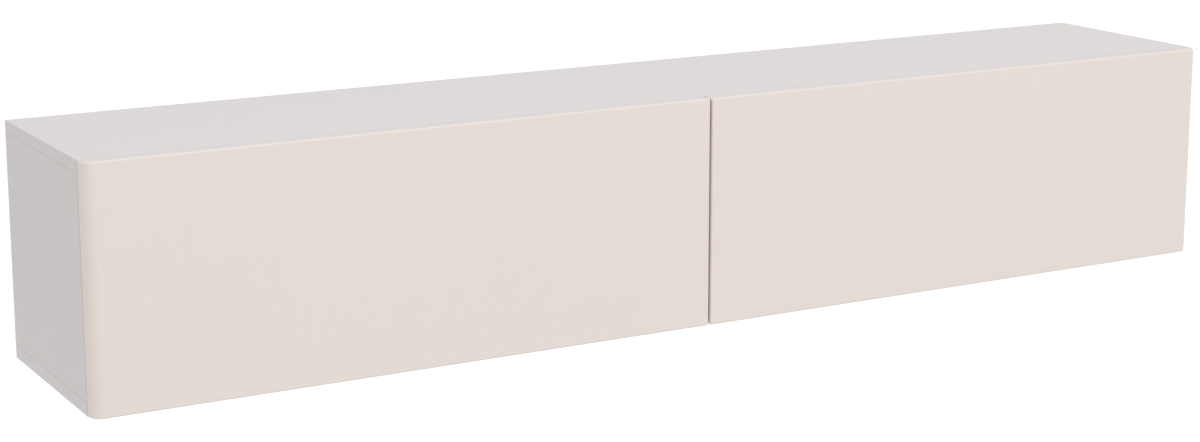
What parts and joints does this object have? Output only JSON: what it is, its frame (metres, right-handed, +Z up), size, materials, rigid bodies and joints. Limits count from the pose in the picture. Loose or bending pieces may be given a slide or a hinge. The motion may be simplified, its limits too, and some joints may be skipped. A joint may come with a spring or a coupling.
{
  "type": "floating media console",
  "caption": "Long low wall-hung media console with lift-up handleless flaps on concealed hinges, spring stays, push latches and a wall rail.",
  "frame": {"origin": "middle of the wall rail's back face, on the wall", "axes": "+X along the console to the viewer's right, +Y into the wall, +Z up; the fronts face -Y"},
  "size_m": [1.8, 0.325, 0.326],
  "materials": {
    "carcass_board": "light warm grey melamine, satin, faint fine print",
    "front_board": "warm beige foil-wrapped board, satin matt",
    "back_board": "light grey lacquered thin fibreboard, matt",
    "zinc_steel": "bright zinc plate",
    "nickel_steel": "nickel plate, satin bright",
    "grey_plastic": "grey moulded plastic",
    "dark_plastic": "dark grey moulded plastic"
  },
  "bodies": {
    "carcass": {"top_panel": "carcass_board", "bottom_panel": "carcass_board", "left_side_panel": "carcass_board", "right_side_panel": "carcass_board", "centre_partition": "carcass_board", "back_panel": "back_board", "wall_rail": "zinc_steel", "left_outer_hinge_arm": "nickel_steel", "left_outer_hinge_plate": "nickel_steel", "left_inner_hinge_arm": "nickel_steel", "left_inner_hinge_plate": "nickel_steel", "right_outer_hinge_arm": "nickel_steel", "right_outer_hinge_plate": "nickel_steel", "right_inner_hinge_arm": "nickel_steel", "right_inner_hinge_plate": "nickel_steel", "left_outer_stay_housing": "grey_plastic", "left_outer_stay_spring": "zinc_steel", "left_inner_stay_housing": "grey_plastic", "left_inner_stay_spring": "zinc_steel", "right_outer_stay_housing": "grey_plastic", "right_outer_stay_spring": "zinc_steel", "right_inner_stay_housing": "grey_plastic", "right_inner_stay_spring": "zinc_steel", "left_latch_housing": "grey_plastic", "right_latch_housing": "grey_plastic", "left_outer_hanger_housing": "grey_plastic", "left_outer_hanger_hook": "zinc_steel", "left_inner_hanger_housing": "grey_plastic", "left_inner_hanger_hook": "zinc_steel", "right_outer_hanger_housing": "grey_plastic", "right_outer_hanger_hook": "zinc_steel", "right_inner_hanger_housing": "grey_plastic", "right_inner_hanger_hook": "zinc_steel"},
    "left_hinge_links": {"left_outer_hinge_link": "nickel_steel", "left_inner_hinge_link": "nickel_steel"},
    "left_flap": {"left_front": "front_board", "left_outer_hinge_cup": "nickel_steel", "left_inner_hinge_cup": "nickel_steel", "left_outer_stay_bracket": "zinc_steel", "left_inner_stay_bracket": "zinc_steel", "left_strike_plate": "zinc_steel"},
    "left_stay_levers": {"left_outer_stay_lever": "zinc_steel", "left_inner_stay_lever": "zinc_steel"},
    "left_stay_links": {"left_outer_stay_link": "zinc_steel", "left_inner_stay_link": "zinc_steel"},
    "left_plunger": {"left_latch_plunger": "dark_plastic"},
    "right_hinge_links": {"right_outer_hinge_link": "nickel_steel", "right_inner_hinge_link": "nickel_steel"},
    "right_flap": {"right_front": "front_board", "right_outer_hinge_cup": "nickel_steel", "right_inner_hinge_cup": "nickel_steel", "right_outer_stay_bracket": "zinc_steel", "right_inner_stay_bracket": "zinc_steel", "right_strike_plate": "zinc_steel"},
    "right_stay_levers": {"right_outer_stay_lever": "zinc_steel", "right_inner_stay_lever": "zinc_steel"},
    "right_stay_links": {"right_outer_stay_link": "zinc_steel", "right_inner_stay_link": "zinc_steel"},
    "right_plunger": {"right_latch_plunger": "dark_plastic"}
  },
  "joints": [
    {"name": "left_hinge_link_pivot", "type": "hinge", "parent": "carcass", "child": "left_hinge_links", "pos_m": [-0.45, -0.3135, 0.023], "axis": [-1, 0, 0], "range_deg": [-38.8, 0]},
    {"name": "left_flap_hinge", "type": "hinge", "parent": "left_hinge_links", "child": "left_flap", "pos_m": [-0.45, -0.3115, 0.042], "axis": [-1, 0, 0], "range_deg": [0, 128.7]},
    {"name": "left_stay_lever_pivot", "type": "hinge", "parent": "carcass", "child": "left_stay_levers", "pos_m": [-0.45, -0.2867, -0.09], "axis": [-1, 0, 0], "range_deg": [0, 90.1]},
    {"name": "left_stay_elbow", "type": "hinge", "parent": "left_stay_levers", "child": "left_stay_links", "pos_m": [-0.45, -0.2655, -0.1716], "axis": [-1, 0, 0], "range_deg": [-97.3, 0]},
    {"name": "left_plunger_slide", "type": "slide", "parent": "carcass", "child": "left_plunger", "axis": [0, -1, 0], "range_m": [0, 0.0121]},
    {"name": "right_hinge_link_pivot", "type": "hinge", "parent": "carcass", "child": "right_hinge_links", "pos_m": [0.45, -0.3135, 0.023], "axis": [-1, 0, 0], "range_deg": [-38.8, 0]},
    {"name": "right_flap_hinge", "type": "hinge", "parent": "right_hinge_links", "child": "right_flap", "pos_m": [0.45, -0.3115, 0.042], "axis": [-1, 0, 0], "range_deg": [0, 128.7]},
    {"name": "right_stay_lever_pivot", "type": "hinge", "parent": "carcass", "child": "right_stay_levers", "pos_m": [0.45, -0.2867, -0.09], "axis": [-1, 0, 0], "range_deg": [0, 90.1]},
    {"name": "right_stay_elbow", "type": "hinge", "parent": "right_stay_levers", "child": "right_stay_links", "pos_m": [0.45, -0.2655, -0.1716], "axis": [-1, 0, 0], "range_deg": [-97.3, 0]},
    {"name": "right_plunger_slide", "type": "slide", "parent": "carcass", "child": "right_plunger", "axis": [0, -1, 0], "range_m": [0, 0.0121]}
  ],
  "couplings": [
    {"joint": "left_hinge_link_pivot", "follows": "left_flap_hinge", "ratio": -0.3007},
    {"joint": "left_stay_lever_pivot", "follows": "left_flap_hinge", "ratio": 0.6993},
    {"joint": "left_stay_elbow", "follows": "left_flap_hinge", "ratio": -0.75525},
    {"joint": "left_plunger_slide", "follows": "left_flap_hinge", "m_per_rad": 0.005342},
    {"joint": "right_hinge_link_pivot", "follows": "right_flap_hinge", "ratio": -0.3007},
    {"joint": "right_stay_lever_pivot", "follows": "right_flap_hinge", "ratio": 0.6993},
    {"joint": "right_stay_elbow", "follows": "right_flap_hinge", "ratio": -0.75525},
    {"joint": "right_plunger_slide", "follows": "right_flap_hinge", "m_per_rad": 0.005342}
  ]
}
